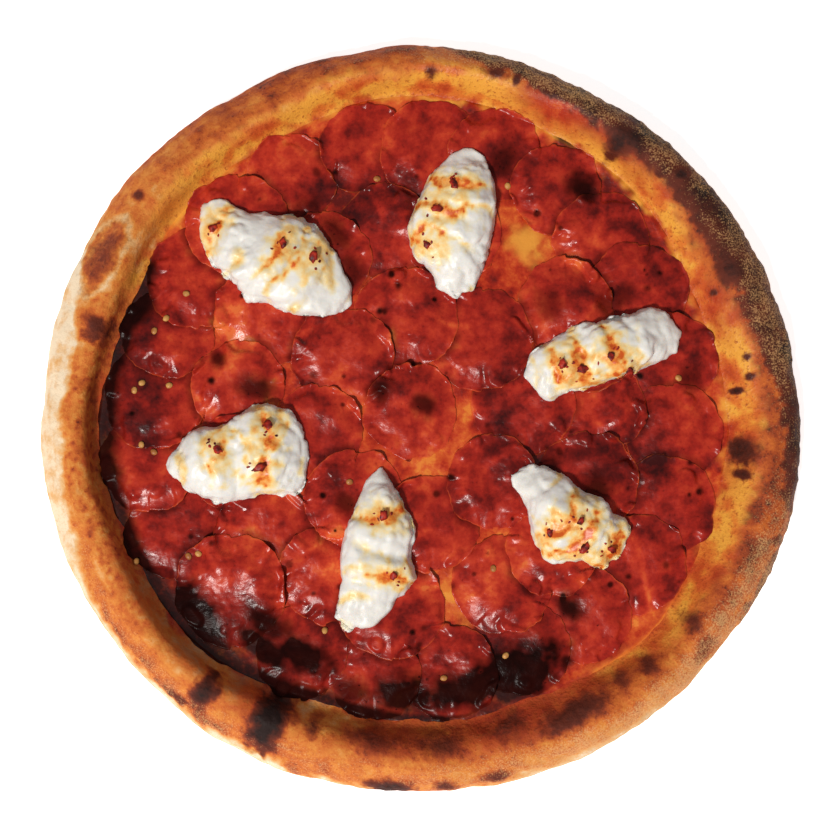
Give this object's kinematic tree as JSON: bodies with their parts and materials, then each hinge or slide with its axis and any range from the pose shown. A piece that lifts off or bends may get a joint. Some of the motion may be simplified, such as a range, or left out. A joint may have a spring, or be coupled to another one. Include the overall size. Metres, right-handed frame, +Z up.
{
  "type": "pepperoni pizza",
  "caption": "Round baked pizza with a raised blistered rim, sauce and melted cheese, overlapping pepperoni slices and folded dollops of fresh cream cheese with chilli.",
  "frame": {"origin": "middle of the flat underside of the crust", "axes": "+Z up through the toppings, +X to the right and +Y away from the viewer as the pizza is served"},
  "size_m": [0.3064, 0.3012, 0.0253],
  "materials": {
    "baked_dough": "matte",
    "sauce_and_cheese": "gloss",
    "pepperoni": "gloss",
    "cream_cheese": "satin",
    "chilli": "satin"
  },
  "bodies": {
    "root": {"cream_dollop_1": "cream_cheese", "cream_dollop_2": "cream_cheese", "cream_dollop_3": "cream_cheese", "cream_dollop_4": "cream_cheese", "cream_dollop_5": "cream_cheese", "cream_dollop_6": "cream_cheese", "crust": "baked_dough", "pepperoni_01": "pepperoni", "pepperoni_02": "pepperoni", "pepperoni_03": "pepperoni", "pepperoni_04": "pepperoni", "pepperoni_05": "pepperoni", "pepperoni_06": "pepperoni", "pepperoni_07": "pepperoni", "pepperoni_08": "pepperoni", "pepperoni_09": "pepperoni", "pepperoni_10": "pepperoni", "pepperoni_11": "pepperoni", "pepperoni_12": "pepperoni", "pepperoni_13": "pepperoni", "pepperoni_14": "pepperoni", "pepperoni_15": "pepperoni", "pepperoni_16": "pepperoni", "pepperoni_17": "pepperoni", "pepperoni_18": "pepperoni", "pepperoni_19": "pepperoni", "pepperoni_20": "pepperoni", "pepperoni_21": "pepperoni", "pepperoni_22": "pepperoni", "pepperoni_23": "pepperoni", "pepperoni_24": "pepperoni", "pepperoni_25": "pepperoni", "pepperoni_26": "pepperoni", "pepperoni_27": "pepperoni", "pepperoni_28": "pepperoni", "pepperoni_29": "pepperoni", "pepperoni_30": "pepperoni", "pepperoni_31": "pepperoni", "pepperoni_32": "pepperoni", "pepperoni_33": "pepperoni", "pepperoni_34": "pepperoni", "pepperoni_35": "pepperoni", "pepperoni_36": "pepperoni", "pepperoni_37": "pepperoni", "pepperoni_38": "pepperoni", "pepperoni_39": "pepperoni", "pepperoni_40": "pepperoni", "pepperoni_41": "pepperoni", "pepperoni_42": "pepperoni", "pepperoni_43": "pepperoni", "pepperoni_44": "pepperoni", "pepperoni_45": "pepperoni", "pepperoni_46": "pepperoni", "pepperoni_47": "pepperoni", "sauce_and_cheese": "sauce_and_cheese"}
  },
  "joints": []
}
